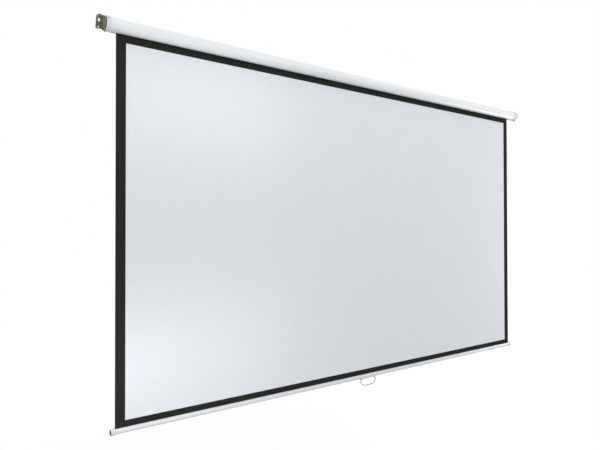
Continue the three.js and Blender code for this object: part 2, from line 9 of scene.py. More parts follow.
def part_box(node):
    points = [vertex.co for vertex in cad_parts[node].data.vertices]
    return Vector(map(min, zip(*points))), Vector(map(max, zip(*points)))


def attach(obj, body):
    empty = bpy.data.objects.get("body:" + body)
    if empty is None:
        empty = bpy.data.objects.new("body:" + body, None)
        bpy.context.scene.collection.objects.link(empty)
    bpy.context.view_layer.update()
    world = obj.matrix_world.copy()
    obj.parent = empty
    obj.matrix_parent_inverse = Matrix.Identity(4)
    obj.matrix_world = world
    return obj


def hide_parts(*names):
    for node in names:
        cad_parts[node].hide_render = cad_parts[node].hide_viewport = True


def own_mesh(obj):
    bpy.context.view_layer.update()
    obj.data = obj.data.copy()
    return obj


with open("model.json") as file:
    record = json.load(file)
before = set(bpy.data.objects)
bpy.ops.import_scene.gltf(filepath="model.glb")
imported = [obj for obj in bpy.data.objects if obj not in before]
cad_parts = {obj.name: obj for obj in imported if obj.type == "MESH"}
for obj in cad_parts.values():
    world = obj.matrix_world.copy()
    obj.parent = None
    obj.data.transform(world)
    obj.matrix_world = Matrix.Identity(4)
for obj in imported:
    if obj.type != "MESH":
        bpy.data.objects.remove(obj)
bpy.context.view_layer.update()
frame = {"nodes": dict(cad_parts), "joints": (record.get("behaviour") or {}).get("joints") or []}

# The photograph is taken from in front of the screen and to its left, at the height of the
# picture's middle. The camera is turned towards the screen's right end and held nearly level.
camera_place = Vector((-2.1194, -2.1694, -0.8069))
camera_yaw = math.radians(37.72)
camera_pitch = math.radians(0.701)
camera_roll = math.radians(-0.071)
photo_width = 600
focal_length_in_pixels = 551.6

forward = Vector((
    math.sin(camera_yaw) * math.cos(camera_pitch),
    math.cos(camera_yaw) * math.cos(camera_pitch),
    math.sin(camera_pitch),
))
level_right = Vector((math.cos(camera_yaw), -math.sin(camera_yaw), 0))
level_up = level_right.cross(forward)
camera_right = math.cos(camera_roll) * level_right + math.sin(camera_roll) * level_up
camera_up = math.cos(camera_roll) * level_up - math.sin(camera_roll) * level_right
lens = bpy.data.cameras.new("photo_camera")
lens.sensor_width = 36
lens.lens = lens.sensor_width * focal_length_in_pixels / photo_width
camera = bpy.data.objects.new("photo_camera", lens)
bpy.context.scene.collection.objects.link(camera)
turn = Matrix((camera_right, camera_up, -forward)).transposed()
camera.matrix_world = Matrix.Translation(camera_place) @ turn.to_4x4()
bpy.context.scene.camera = camera
bpy.context.scene.view_settings.view_transform = "Standard"


# A white studio: the world is a plain pale light that looks pure white to the camera and in
# reflections. A large lamp stands at each side, and small ones near the screen brighten its
# corners and the casing.
world_light = 0.98
world_tint = (0.99, 0.995, 1, 1)


def calculate(tree, operation, *terms):
    """The result of a maths node. Each term is a number or another node's output."""
    step = tree.nodes.new("ShaderNodeMath")
    step.operation = operation
    for socket, term in zip(step.inputs, terms):
        if isinstance(term, (int, float)):
            socket.default_value = term
        else:
            tree.links.new(term, socket)
    return step.outputs[0]


def white_where_seen(tree):
    """Is this ray from the camera, or seen in a reflection or through glass?"""
    path = tree.nodes.new("ShaderNodeLightPath")
    seen = path.outputs["Is Camera Ray"]
    for kind in ("Is Glossy Ray", "Is Transmission Ray"):
        seen = calculate(tree, "MAXIMUM", seen, path.outputs[kind])
    return seen


def add_softbox(name, place, aim, width, height, watts):
    """A soft rectangular lamp at a place, turned towards its aim, that the camera doesn't see."""
    lamp = bpy.data.lights.new(name, "AREA")
    lamp.shape = "RECTANGLE"
    lamp.size = width
    lamp.size_y = height
    lamp.energy = watts
    box = bpy.data.objects.new(name, lamp)
    bpy.context.scene.collection.objects.link(box)
    box.location = place
    box.rotation_mode = "QUATERNION"
    box.rotation_quaternion = (Vector(aim) - Vector(place)).to_track_quat("-Z", "Y")
    box.visible_camera = False


studio = bpy.data.worlds.new("white_studio")
studio.use_nodes = True
bpy.context.scene.world = studio
studio_tree = studio.node_tree
soft_light = studio_tree.nodes["Background"]
soft_light.inputs["Color"].default_value = world_tint
soft_light.inputs["Strength"].default_value = world_light
seen_white = studio_tree.nodes.new("ShaderNodeBackground")
seen_white.inputs["Color"].default_value = (1, 1, 1, 1)
choose = studio_tree.nodes.new("ShaderNodeMixShader")
studio_tree.links.new(white_where_seen(studio_tree), choose.inputs["Fac"])
studio_tree.links.new(soft_light.outputs[0], choose.inputs[1])
studio_tree.links.new(seen_white.outputs[0], choose.inputs[2])
studio_tree.links.new(choose.outputs[0], studio_tree.nodes["World Output"].inputs["Surface"])

add_softbox("left_softbox", (-3.4, -2.6, -0.2), (-0.9, 0, -0.8), 1.8, 2.6, 20.3)
add_softbox("right_softbox", (2.9, -0.5, -1.0), (1.2, 0, -0.4), 1.2, 1.2, 15)
add_softbox("lower_left_softbox", (-1.2, -0.38, -1.32), (-1.1, 0, -1.5), 1.1, 0.25, 0.8)
add_softbox("upper_left_softbox", (-1.0, -0.35, -0.24), (-1.0, 0, -0.24), 0.9, 0.15, 0.4)
add_softbox("upper_middle_softbox", (0.2, -1.0, 0.4), (0, 0, -0.05), 1.0, 0.4, 1.2)
add_softbox("upper_right_softbox", (2.3, -0.9, 0.3), (1.2, 0, -0.05), 0.6, 0.9, 2)

# The floor is white, and 0.87 m below the handle, which puts the camera at eye level. It is lit
# by its own paleness to the camera, so that it runs into the background but keeps shadows.
floor_depth = 2.5
floor_half = 9
floor_white = 0.5
floor_lift = 0.52

floor_mesh = bpy.data.meshes.new("studio_floor")
floor_corners = [
    (x * floor_half, y * floor_half, -floor_depth) for x, y in ((-1, -1), (1, -1), (1, 1), (-1, 1))
]
floor_mesh.from_pydata(floor_corners, [], [(0, 1, 2, 3)])
studio_floor = bpy.data.objects.new("studio_floor", floor_mesh)
bpy.context.scene.collection.objects.link(studio_floor)
floor_paint = bpy.data.materials.new("studio_floor_paint")
floor_paint.use_nodes = True
floor_tree = floor_paint.node_tree
floor_shader = floor_tree.nodes["Principled BSDF"]
floor_shader.inputs["Base Color"].default_value = (floor_white, floor_white, floor_white, 1)
floor_shader.inputs["Roughness"].default_value = 0.9
floor_shader.inputs["Specular IOR Level"].default_value = 0
floor_shader.inputs["Emission Color"].default_value = (1, 1, 1, 1)
lift = calculate(floor_tree, "MULTIPLY", white_where_seen(floor_tree), floor_lift)
floor_tree.links.new(lift, floor_shader.inputs["Emission Strength"])
floor_mesh.materials.append(floor_paint)

# Casing: one tube of roll-formed sheet steel, painted white, as long as the screen. A slot below
# lets the fabric out, a lip hangs from the slot's rear edge, and a flat rib along the back lies
# on the wall.
mm = 0.001
casing_low, casing_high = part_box("casing_tube")
cap_low, cap_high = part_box("end_cap_right")
roller_low, roller_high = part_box("roller_tube")
fabric_low, fabric_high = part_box("screen_fabric")
axis_y = (roller_low.y + roller_high.y) / 2
axis_z = (roller_low.z + roller_high.z) / 2
wall_y = casing_high.y
fabric_y = (fabric_low.y + fabric_high.y) / 2
casing_radius = casing_high.z - axis_z
casing_wall = 1.2 * mm
slot_half = 4 * mm
lip_drop = 9 * mm
rib_half = 7 * mm
rib_inset = 3 * mm
casing_steps = 128
crease_angle = math.radians(32)
weld_distance = 0.001 * mm
casing_white = (225, 229, 232)


def linear(colour):
    """A colour written as 0 to 255 in sRGB, as the linear values that the shader takes."""
    shares = [value / 255 for value in colour]
    return tuple(s / 12.92 if s <= 0.04045 else ((s + 0.055) / 1.055) ** 2.4 for s in shares) + (1,)


def new_effect(name, **given):
    """Begins a shared effect: a node group that gives a colour and a height."""
    group = bpy.data.node_groups.new(name, "ShaderNodeTree")
    for label, kind in given.items():
        group.interface.new_socket(label, in_out="INPUT", socket_type=f"NodeSocket{kind}")
    for label, kind in (("Colour", "Color"), ("Height", "Float")):
        group.interface.new_socket(label, in_out="OUTPUT", socket_type=f"NodeSocket{kind}")
    return group, group.nodes.new("NodeGroupInput").outputs


def end_effect(group, colour, factor, height):
    """Ends a shared effect: puts out the colour times the factor, and the height."""
    scaled = group.nodes.new("ShaderNodeVectorMath")
    scaled.operation = "SCALE"
    group.links.new(colour, scaled.inputs[0])
    group.links.new(factor, scaled.inputs["Scale"])
    result = group.nodes.new("NodeGroupOutput")
    group.links.new(scaled.outputs[0], result.inputs["Colour"])
    group.links.new(height, result.inputs["Height"])


def make_surface_grain():
    """Shared effect: a colour that drifts a little over the surface, and the pattern as a height."""
    group, given = new_effect("surface_grain", Colour="Color", Spread="Float", Cells="Vector")
    place = group.nodes.new("ShaderNodeTexCoord")
    stretch = group.nodes.new("ShaderNodeVectorMath")
    stretch.operation = "MULTIPLY"
    group.links.new(place.outputs["Object"], stretch.inputs[0])
    group.links.new(given["Cells"], stretch.inputs[1])
    grain = group.nodes.new("ShaderNodeTexNoise")
    grain.inputs["Scale"].default_value = 1
    grain.inputs["Detail"].default_value = 3
    group.links.new(stretch.outputs[0], grain.inputs["Vector"])
    height = grain.outputs["Fac"]
    centred = calculate(group, "SUBTRACT", height, 0.5)
    factor = calculate(group, "MULTIPLY_ADD", centred, given["Spread"], 1)
    end_effect(group, given["Colour"], factor, height)
    return group


surface_grain = make_surface_grain()


def new_finish(name, roughness, metallic=0):
    """A material with its own shader, and the node tree to build its pattern in."""
    finish = bpy.data.materials.new(name)
    finish.use_nodes = True
    shader = finish.node_tree.nodes["Principled BSDF"]
    shader.inputs["Roughness"].default_value = roughness
    shader.inputs["Metallic"].default_value = metallic
    return finish, finish.node_tree, shader


def place_effect(tree, effect, colour, **settings):
    """Places a shared effect in a material. The colour is a value or another node's output."""
    placed = tree.nodes.new("ShaderNodeGroup")
    placed.node_tree = effect
    for label, value in settings.items():
        placed.inputs[label].default_value = value
    if isinstance(colour, tuple):
        placed.inputs["Colour"].default_value = colour
    else:
        tree.links.new(colour, placed.inputs["Colour"])
    return placed


def grain_colour(tree, shader, colour, *layers):
    """Lets the shader's colour drift in layers of grain, each a spread and its cells to a metre."""
    tone = linear(colour)
    for spread, cells in layers:
        grain = place_effect(tree, surface_grain, tone, Spread=spread, Cells=cells)
        tone = grain.outputs["Colour"]
    tree.links.new(tone, shader.inputs["Base Color"])
    return grain


def grain_height(tree, cells):
    """The height alone of a grain that has this many cells to a metre each way."""
    grain = place_effect(tree, surface_grain, (1, 1, 1, 1), Spread=0, Cells=(cells, cells, cells))
    return grain.outputs["Height"]


def add_bump(tree, shader, height, depth, strength):
    """Lets a pattern's height, of a depth in metres, tilt the shader's normal."""
    bump = tree.nodes.new("ShaderNodeBump")
    bump.inputs["Strength"].default_value = strength
    bump.inputs["Distance"].default_value = depth
    tree.links.new(height, bump.inputs["Height"])
    tree.links.new(bump.outputs["Normal"], shader.inputs["Normal"])


def painted_steel(name, colour, roughness):
    """White paint with faint streaks along the metal from rolling, and a fine orange peel."""
    finish, tree, shader = new_finish(name, roughness)
    streaks, clouds = (0.035, (0.8, 160, 160)), (0.03, (3, 20, 20))
    grain_colour(tree, shader, colour, streaks, clouds)
    add_bump(tree, shader, grain_height(tree, 700), 0.05 * mm, 0.35)
    shader.inputs["Coat Weight"].default_value = 0.4
    shader.inputs["Coat Roughness"].default_value = 0.25
    return finish


def make_mesh(name, bm, *finishes):
    """Turns finished mesh work into a mesh, smooth but for its edges sharper than the crease angle."""
    bmesh.ops.remove_doubles(bm, verts=bm.verts, dist=weld_distance)
    bmesh.ops.recalc_face_normals(bm, faces=bm.faces)
    mesh = bpy.data.meshes.new(name)
    bm.to_mesh(mesh)
    bm.free()
    for finish in finishes:
        mesh.materials.append(finish)
    mesh.polygons.foreach_set("use_smooth", [True] * len(mesh.polygons))
    mesh.set_sharp_from_angle(angle=crease_angle)
    return mesh


def skinned(name, rings, *finishes):
    """A solid whose skin joins closed rings of points, one to the next, with both ends closed."""
    bm = bmesh.new()
    loops = [[bm.verts.new(point) for point in ring] for ring in rings]
    for near, far in zip(loops, loops[1:]):
        for i in range(len(near)):
            j = (i + 1) % len(near)
            bm.faces.new((near[i], near[j], far[j], far[i]))
    bm.faces.new(list(reversed(loops[0])))
    bm.faces.new(loops[-1])
    return make_mesh(name, bm, *finishes)


def seat(name, mesh, body, slot, *nodes):
    """Puts a piece in the scene, where it moves with its body and stands for its CAD nodes."""
    piece = bpy.data.objects.new(name, mesh)
    bpy.context.scene.collection.objects.link(piece)
    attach(piece, body)
    if nodes:
        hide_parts(*nodes)
    return piece


def arc(centre, radius, start, end, steps):
    """Points round a centre from one angle to another, both included."""
    angles = [start + (end - start) * i / steps for i in range(steps + 1)]
    return [(centre[0] + radius * math.cos(a), centre[1] + radius * math.sin(a)) for a in angles]


def ring_at(x, outline, y, z):
    """A (y, z) outline, set round an axis at a place along X."""
    return [(x, y + along, z + up) for along, up in outline]


slot_middle = fabric_y - axis_y
slot_rear_angle = -math.acos((slot_middle + slot_half) / casing_radius)
slot_front_angle = 2 * math.pi - math.acos((slot_middle - slot_half) / casing_radius)
casing_bore = casing_radius - casing_wall
round_outline = arc((0, 0), casing_radius, slot_rear_angle, slot_front_angle, casing_steps)
round_outline += arc((0, 0), casing_bore, slot_front_angle, slot_rear_angle, casing_steps)


def on_rib(y, z):
    """Is this point of the round outline on its outside, at the back, and level with the rib?"""
    outside = math.hypot(y, z) > casing_radius - casing_wall / 2
    return outside and y > 0 and abs(z) <= rib_half


open_outline = [(wall_y - axis_y if on_rib(y, z) else y, z) for y, z in round_outline]
lip_y = slot_middle + slot_half
lip_top = -math.sqrt(casing_bore ** 2 - lip_y ** 2)
open_outline[0] = (lip_y, lip_top - lip_drop)
open_outline[1] = (lip_y + casing_wall, lip_top - lip_drop)
open_outline[-1] = (lip_y, lip_top)
rib_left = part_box("end_cap_left")[1].x + rib_inset
rib_right = cap_low.x - rib_inset
casing_stations = [
    (casing_low.x, round_outline),
    (rib_left, round_outline),
    (rib_left, open_outline),
    (rib_right, open_outline),
    (rib_right, round_outline),
    (casing_high.x, round_outline),
]
casing_paint = painted_steel("casing_paint", casing_white, 0.34)
casing_rings = [ring_at(x, outline, axis_y, axis_z) for x, outline in casing_stations]
casing_mesh = skinned("casing", casing_rings, casing_paint)
seat("casing", casing_mesh, "casing", "casing_paint", "casing_tube")

# End caps: white moulded bands with a raised rim at each edge, slid over the casing's ends.
# Their end wall carries the roller's pin or spindle, and the bracket is riveted to it.
cap_rim = 3 * mm
cap_rim_proud = 1.1 * mm
cap_end_wall = 3 * mm
cap_sleeve_wall = 3.2 * mm
cap_boss_radius = 9 * mm
cap_boss_reach = 7 * mm
cap_edge_round = 0.8 * mm
cap_band_tolerance = 0.02 * mm
corner_share = 0.45
cap_steps = 128
cap_white = (232, 235, 237)
cap_band_white = (212, 215, 217)
ends = {"left": -1, "right": 1}


def curve_to(start, control, end, steps):
    """Points of a simple curve from start, which is left out, to end."""
    points = []
    for i in range(1, steps + 1):
        t = i / steps
        weights = ((1 - t) ** 2, 2 * t * (1 - t), t ** 2)
        points.append(tuple(
            sum(weight * value for weight, value in zip(weights, values))
            for values in zip(start, control, end)))
    return points


def soften(outline, radius, closed=False, steps=3):
    """Rounds the corners of an outline by about radius, less where its edges are short."""
    points = [Vector(point) for point in outline]
    rounded = []
    for i, here in enumerate(points):
        if not closed and i in (0, len(points) - 1):
            rounded.append(tuple(here))
            continue
        before, after = points[i - 1] - here, points[(i + 1) % len(points)] - here
        reach = min(radius, before.length * corner_share, after.length * corner_share)
        start, end = here + before.normalized() * reach, here + after.normalized() * reach
        rounded += [tuple(start)] + curve_to(start, here, end, steps)
    return rounded


def turned(name, profile, place, steps, *finishes):
    """A turned piece: (along, radius) points turned about X, then placed by a matrix."""
    bm = bmesh.new()
    rings = []
    for along, radius in profile:
        around = 1 if radius == 0 else steps
        angles = [2 * math.pi * i / steps for i in range(around)]
        points = [(along, radius * math.cos(a), radius * math.sin(a)) for a in angles]
        rings.append([bm.verts.new(place @ Vector(point)) for point in points])
    pairs = list(zip(rings, rings[1:]))
    if profile[0][1] != 0:
        pairs.append((rings[-1], rings[0]))
    for near, far in pairs:
        for i in range(steps):
            j = (i + 1) % steps
            corners = (near[i % len(near)], near[j % len(near)], far[j % len(far)], far[i % len(far)])
            bm.faces.new(list(dict.fromkeys(corners)))
    return make_mesh(name, bm, *finishes)


def inner_end(node, side):
    """The X at which a node at one end of the screen begins, on its side towards the middle."""
    low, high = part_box(node)
    return high.x if side < 0 else low.x


def outwards(side, start, y, z):
    """Where a piece of one end is placed: its X runs outwards from start, on both sides."""
    flip = Matrix.Diagonal((side, 1, 1, 1))
    return Matrix.Translation((start, y, z)) @ flip


def moulded_plastic(name, colour, roughness, bump=0.03 * mm):
    """Injection-moulded plastic: an even colour with slow clouds and a very fine grain."""
    finish, tree, shader = new_finish(name, roughness)
    grain_colour(tree, shader, colour, (0.04, (60, 60, 60)))
    add_bump(tree, shader, grain_height(tree, 2200), bump, 0.5)
    return finish


cap_plastic = moulded_plastic("cap_plastic", cap_white, 0.42)
cap_band_plastic = moulded_plastic("cap_band_plastic", cap_band_white, 0.6, bump=0.08 * mm)
cap_width = cap_high.x - cap_low.x
cap_rim_radius = (cap_high.z - cap_low.z) / 2
cap_band_radius = cap_rim_radius - cap_rim_proud
cap_bore = cap_band_radius - cap_sleeve_wall
shaft_hole = 4.3 * mm
cap_boss_end = cap_width - cap_end_wall - cap_boss_reach
cap_profile = soften([
    (0, cap_bore),
    (0, cap_band_radius),
    (cap_rim_proud, cap_rim_radius),
    (cap_rim - cap_rim_proud, cap_rim_radius),
    (cap_rim, cap_band_radius),
    (cap_width - cap_rim, cap_band_radius),
    (cap_width - cap_rim + cap_rim_proud, cap_rim_radius),
    (cap_width - cap_rim_proud, cap_rim_radius),
    (cap_width, cap_band_radius),
    (cap_width, shaft_hole),
    (cap_boss_end, shaft_hole),
    (cap_boss_end, cap_boss_radius),
    (cap_width - cap_end_wall, cap_boss_radius),
    (cap_width - cap_end_wall, cap_bore),
], cap_edge_round, closed=True)
for end, side in ends.items():
    place = outwards(side, inner_end(f"end_cap_{end}", side), axis_y, axis_z)
    cap_mesh = turned(f"cap_{end}", cap_profile, place, cap_steps, cap_plastic, cap_band_plastic)
    for face in cap_mesh.polygons:
        corners = [cap_mesh.vertices[i].co for i in face.vertices]
        reaches = [math.hypot(corner.y - axis_y, corner.z - axis_z) for corner in corners]
        if all(abs(reach - cap_band_radius) < cap_band_tolerance for reach in reaches):
            face.material_index = 1
    seat(f"cap_{end}", cap_mesh, "casing", "cap_plastic", f"end_cap_{end}")

# Cap screws: zinc-plated pan-head screws with a cross recess, which hold each cap to the casing.
# One is set in the cap's band above, further forward at the left end, and one underneath. Their
# grey is darker than plated zinc: painted shade, for the shade they sit in at the cap.
# The screws' colour: the zinc's grey, darkened by painted shade.
screw_zinc_and_shade = (88, 97, 92)
upper_screw_turns = {"left": math.radians(60), "right": math.radians(18)}
screw_length = 6 * mm
screw_seat = 0.1 * mm
screw_head_height = 1.0 * mm
screw_shank_share = 0.42
screw_dome_share = 0.55
recess_arm = 0.62
recess_width = 0.2


def plated_steel(name, colour, roughness, cells=(260, 260, 260), spread=0.16):
    """Zinc-plated steel: a soft metal sheen in patches, with fine rubbed marks in its gloss."""
    finish, tree, shader = new_finish(name, roughness, metallic=0.85)
    grain_colour(tree, shader, colour, (spread, cells))
    rubbed = grain_height(tree, 900)
    dulled = tree.nodes.new("ShaderNodeMapRange")
    dulled.inputs["To Min"].default_value = roughness - 0.1
    dulled.inputs["To Max"].default_value = roughness + 0.12
    tree.links.new(rubbed, dulled.inputs["Value"])
    tree.links.new(dulled.outputs["Result"], shader.inputs["Roughness"])
    add_bump(tree, shader, rubbed, 0.02 * mm, 0.4)
    return finish


def worked(mesh, kind, **settings):
    """A mesh after a cut, a join or the rounding of its edges, with points that meet made one."""
    holder = bpy.data.objects.new("worked", mesh)
    bpy.context.scene.collection.objects.link(holder)
    step = holder.modifiers.new("step", kind)
    for setting, value in settings.items():
        setattr(step, setting, value)
    ready = holder.evaluated_get(bpy.context.evaluated_depsgraph_get())
    result = bpy.data.meshes.new_from_object(ready)
    bpy.data.objects.remove(holder)
    result.name = mesh.name
    bm = bmesh.new()
    bm.from_mesh(result)
    bmesh.ops.remove_doubles(bm, verts=bm.verts, dist=2 * weld_distance)
    bmesh.ops.dissolve_degenerate(bm, edges=bm.edges, dist=2 * weld_distance)
    bm.to_mesh(result)
    bm.free()
    return result


def combine(mesh, tool, operation):
    """Cuts a mesh by a closed tool mesh, or joins the two."""
    holder = bpy.data.objects.new("tool", tool)
    bpy.context.scene.collection.objects.link(holder)
    result = worked(mesh, "BOOLEAN", object=holder, operation=operation, solver="EXACT")
    bpy.data.objects.remove(holder)
    return result


def cross_recess(width, reach, depth, place):
    """A cross-shaped cutter that reaches from depth below the top of a head to well above it."""
    inner, outer = width / 2, reach / 2
    outline = []
    for cos, sin in ((1, 0), (0, 1), (-1, 0), (0, -1)):
        arm = [(outer, -inner), (outer, inner), (inner, inner)]
        outline += [(cos * y - sin * z, sin * y + cos * z) for y, z in arm]
    rings = [[place @ Vector((x, y, z)) for y, z in outline] for x in (-depth, depth)]
    return skinned("cross_recess", rings)


def dome(foot, radius, height, steps=7):
    """Points of a low rounded head, from its rim to just short of its middle."""
    angles = [math.pi / 2 * i / steps for i in range(steps)]
    return [(foot + height * math.sin(a), radius * math.cos(a)) for a in angles]


def pan_head_screw(name, radius, height, shank, place, finish):
    """A screw whose head stands on X = 0 and whose shank runs inwards."""
    shank_radius = radius * screw_shank_share
    rim = height * screw_dome_share
    profile = [(-shank, 0), (-shank, shank_radius), (0, shank_radius), (0, radius)]
    profile += dome(rim, radius, height - rim, 6) + [(height, 0)]
    head = turned(name, profile, place, 32, finish)
    top = place @ Matrix.Translation((height, 0, 0))
    cutter = cross_recess(radius * recess_width * 2, radius * recess_arm * 2, rim, top)
    screw = combine(head, cutter, "DIFFERENCE")
    screw.set_sharp_from_angle(angle=crease_angle)
    return screw


# The screws' finish carries that painted shade in its darkened grey.
screw_finish = plated_steel("cap_screw_zinc", screw_zinc_and_shade, 0.45)
x_to_z = Matrix.Rotation(-math.pi / 2, 4, "Y")
for end in ends:
    for place_name, angle in (("top", upper_screw_turns[end]), ("bottom", math.pi)):
        node = f"cap_screw_{end}_{place_name}"
        low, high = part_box(node)
        radius = (high.x - low.x) / 2
        on_axis = Matrix.Translation(((low.x + high.x) / 2, axis_y, axis_z))
        on_band = Matrix.Translation((0, 0, cap_band_radius - screw_seat))
        place = on_axis @ Matrix.Rotation(angle, 4, "X") @ on_band @ x_to_z
        shank = screw_length - screw_head_height
        screw_mesh = pan_head_screw(node, radius, screw_head_height, shank, place, screw_finish)
        seat(f"{node}_head", screw_mesh, "casing", "zinc_steel", node)

# Wall brackets: 2 mm sheet steel, cut as a flat blank and bent once, in a dull grey-green plating.
# The cut edges are painted dark brown: painted shade, over the darker raw steel of a sheared edge.
# A plate covers the cap's end, and an ear on the wall has a keyhole and a round hole for the
# fixing screws.
sheet = 2 * mm
bend_radius = 2.4 * mm
bend_steps = 8
plate_radius = 31.2 * mm
plate_front_top = math.radians(147)
plate_front_foot = math.radians(247)
tip_front = (-9.5 * mm, -35.5 * mm)
tip_back = (0, -34 * mm)
ear_top_width = 21.5 * mm
ear_foot_width = 24.9 * mm
ear_apex = (10.2 * mm, 44.2 * mm)
ear_shoulder = (17 * mm, 38.4 * mm)
ear_bend_top = 42.4 * mm
ear_corner = 37.4 * mm
ear_corner_round = 2.5 * mm
foot_z = -15.5 * mm
foot_round = 7 * mm
keyhole_across = 11.6 * mm
keyhole_low = 13.6 * mm
keyhole_high = 27 * mm
keyhole_wide = 9.4 * mm
keyhole_narrow = 4.4 * mm
keyhole_round = 1.2 * mm
fixing_hole_place = (13.4 * mm, -8.4 * mm)
fixing_hole_radius = 3 * mm
bracket_edge_round = 0.2 * mm
bracket_green = (108, 106, 91)
# Dark brown of the cut edges: painted shade, over the darker raw steel of a sheared edge.
bracket_edge_shade_brown = (40, 32, 27)


def bracket_blank(reach):
    """The flat blank and its two holes, in (distance past the bend's start, height)."""
    bend_start = reach - sheet / 2 - bend_radius
    bend_length = bend_radius * math.pi / 2
    past_bend = bend_length - sheet / 2 - bend_radius
    front = arc((-bend_start, 0), plate_radius, plate_front_top, plate_front_foot, 40)
    top_share = -front[0][0] / (reach - bend_start - front[0][0])
    bend_top = front[0][1] + (ear_bend_top - front[0][1]) * top_share
    tip_start = (tip_back[0] - bend_start, tip_back[1])
    belly = (reach / 2 - bend_start, (tip_back[1] + foot_z) / 2)
    foot_start = (past_bend + ear_foot_width - foot_round, foot_z)
    foot_end = (past_bend + ear_foot_width, foot_z + foot_round)
    corner_start = (past_bend + ear_top_width, ear_corner - ear_corner_round)
    corner_end = (past_bend + ear_top_width - ear_corner_round, ear_corner)
    apex_share = (bend_length - past_bend) / ear_apex[0]
    ear_top = (bend_length, ear_bend_top + (ear_apex[1] - ear_bend_top) * apex_share)
    outline = [(0, bend_top)] + front
    outline += curve_to(front[-1], (tip_front[0] - bend_start, tip_front[1]), tip_start, 8)
    outline += curve_to(tip_start, belly, (bend_length, foot_z), 14)
    outline += [foot_start] + curve_to(foot_start, (foot_end[0], foot_z), foot_end, 10)
    outline += [corner_start] + curve_to(corner_start, (corner_start[0], ear_corner), corner_end, 6)
    outline += [(past_bend + across, z) for across, z in (ear_shoulder, ear_apex)] + [ear_top]
    key_middle = past_bend + keyhole_across
    key = soften([
        (key_middle - keyhole_wide / 2, keyhole_low),
        (key_middle + keyhole_wide / 2, keyhole_low),
        (key_middle + keyhole_narrow / 2, keyhole_high),
        (key_middle - keyhole_narrow / 2, keyhole_high),
    ], keyhole_round, closed=True, steps=5)
    hole_centre = (past_bend + fixing_hole_place[0], fixing_hole_place[1])
    hole = arc(hole_centre, fixing_hole_radius, 0, 2 * math.pi, 32)[:-1]
    return outline, [key, hole], bend_start, bend_length


def bend_point(u, z, lift, bend_start, bend_length):
    """Where a point of the blank lies once the sheet is bent; lift is its height off the middle."""
    if u <= 0:
        return (sheet / 2 - lift, bend_start + u, z)
    if u >= bend_length:
        return (sheet / 2 + bend_radius + u - bend_length, bend_start + bend_radius + lift, z)
    angle = u / bend_radius
    radius = bend_radius + lift
    across = sheet / 2 + bend_radius - radius * math.cos(angle)
    return (across, bend_start + radius * math.sin(angle), z)


def bent_bracket(reach, place):
    """Fills the blank, scores it at the bend, gives it its thickness and bends it."""
    outline, holes, bend_start, bend_length = bracket_blank(reach)
    flat = bmesh.new()
    for loop in [outline] + holes:
        points = [flat.verts.new((u, z, 0)) for u, z in loop]
        for here, after in zip(points, points[1:] + points[:1]):
            flat.edges.new((here, after))
    bmesh.ops.triangle_fill(flat, use_beauty=True, edges=flat.edges)
    for i in range(bend_steps + 1):
        everything = list(flat.verts) + list(flat.edges) + list(flat.faces)
        score = (bend_length * i / bend_steps, 0, 0)
        bmesh.ops.bisect_plane(flat, geom=everything, plane_co=score, plane_no=(1, 0, 0))
    flat.verts.index_update()
    bm = bmesh.new()
    sides = []
    for lift in (sheet / 2, -sheet / 2):
        sides.append([
            bm.verts.new(place @ Vector(bend_point(v.co.x, v.co.y, lift, bend_start, bend_length)))
            for v in flat.verts
        ])
    for face in flat.faces:
        around = [v.index for v in face.verts]
        bm.faces.new([sides[0][i] for i in around])
        bm.faces.new([sides[1][i] for i in reversed(around)])
    for edge in flat.edges:
        if len(edge.link_faces) == 1:
            a, b = (v.index for v in edge.verts)
            # The cut edges take the second material, their dark brown painted shade.
            cut_edge = bm.faces.new((sides[0][a], sides[0][b], sides[1][b], sides[1][a]))
            cut_edge.material_index = 1
    flat.free()
    return bm


def dull_plating():
    """Chromated zinc: grey-green, mottled lighter and darker, with a low gloss."""
    finish, tree, shader = new_finish("bracket_plating", 0.5, metallic=0.35)
    mottle, specks = (0.45, (120, 120, 120)), (0.3, (600, 600, 600))
    grain = grain_colour(tree, shader, bracket_green, mottle, specks)
    add_bump(tree, shader, grain.outputs["Height"], 0.03 * mm, 0.4)
    return finish


def cut_edge_with_painted_shade():
    """A sheared edge: dark brown steel with fine marks. The dark brown is painted shade, over the
    darker raw steel of a sheared edge.
    """
    finish, tree, shader = new_finish("bracket_edge_painted_shade", 0.6, metallic=0.3)
    grain_colour(tree, shader, bracket_edge_shade_brown, (0.5, (500, 500, 500)))
    return finish


def round_edges(mesh, width, angle=40):
    """Breaks a mesh's edges, where they are sharper than angle degrees, by a small round."""
    return worked(mesh, "BEVEL", width=width, segments=2, limit_method="ANGLE",
                  angle_limit=math.radians(angle))


bracket_plating = dull_plating()
# The cut edges' material carries painted shade in its dark brown.
bracket_edge_painted_shade = cut_edge_with_painted_shade()
for end, side in ends.items():
    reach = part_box(f"wall_bracket_{end}")[1].y - axis_y
    bracket_place = outwards(side, inner_end(f"wall_bracket_{end}", side), axis_y, axis_z)
    bracket_bm = bent_bracket(reach, bracket_place)
    bracket_mesh = make_mesh(f"bracket_{end}", bracket_bm, bracket_plating, bracket_edge_painted_shade)
    bracket_mesh = round_edges(bracket_mesh, bracket_edge_round)
    seat(f"bracket_{end}", bracket_mesh, "casing", "bracket_steel", f"wall_bracket_{end}")

# Rivets and shaft ends: two steel rivets and the peened end of the roller's shaft hold each
# bracket to its cap. The rivets are plated like the bracket, and the shafts are bright zinc.
rivet_head = 3.4 * mm
rivet_shank = 2 * mm
rivet_dome = 1.2 * mm
rivet_inner_head = 0.9 * mm
shaft_end_round = 0.4 * mm
peen_height = 1.5 * mm
peen_proud = 2 * mm
peen_dimple = 0.3 * mm
dimple_rim_share = 0.3
dimple_foot_share = 0.16
shaft_zinc = (140, 142, 138)

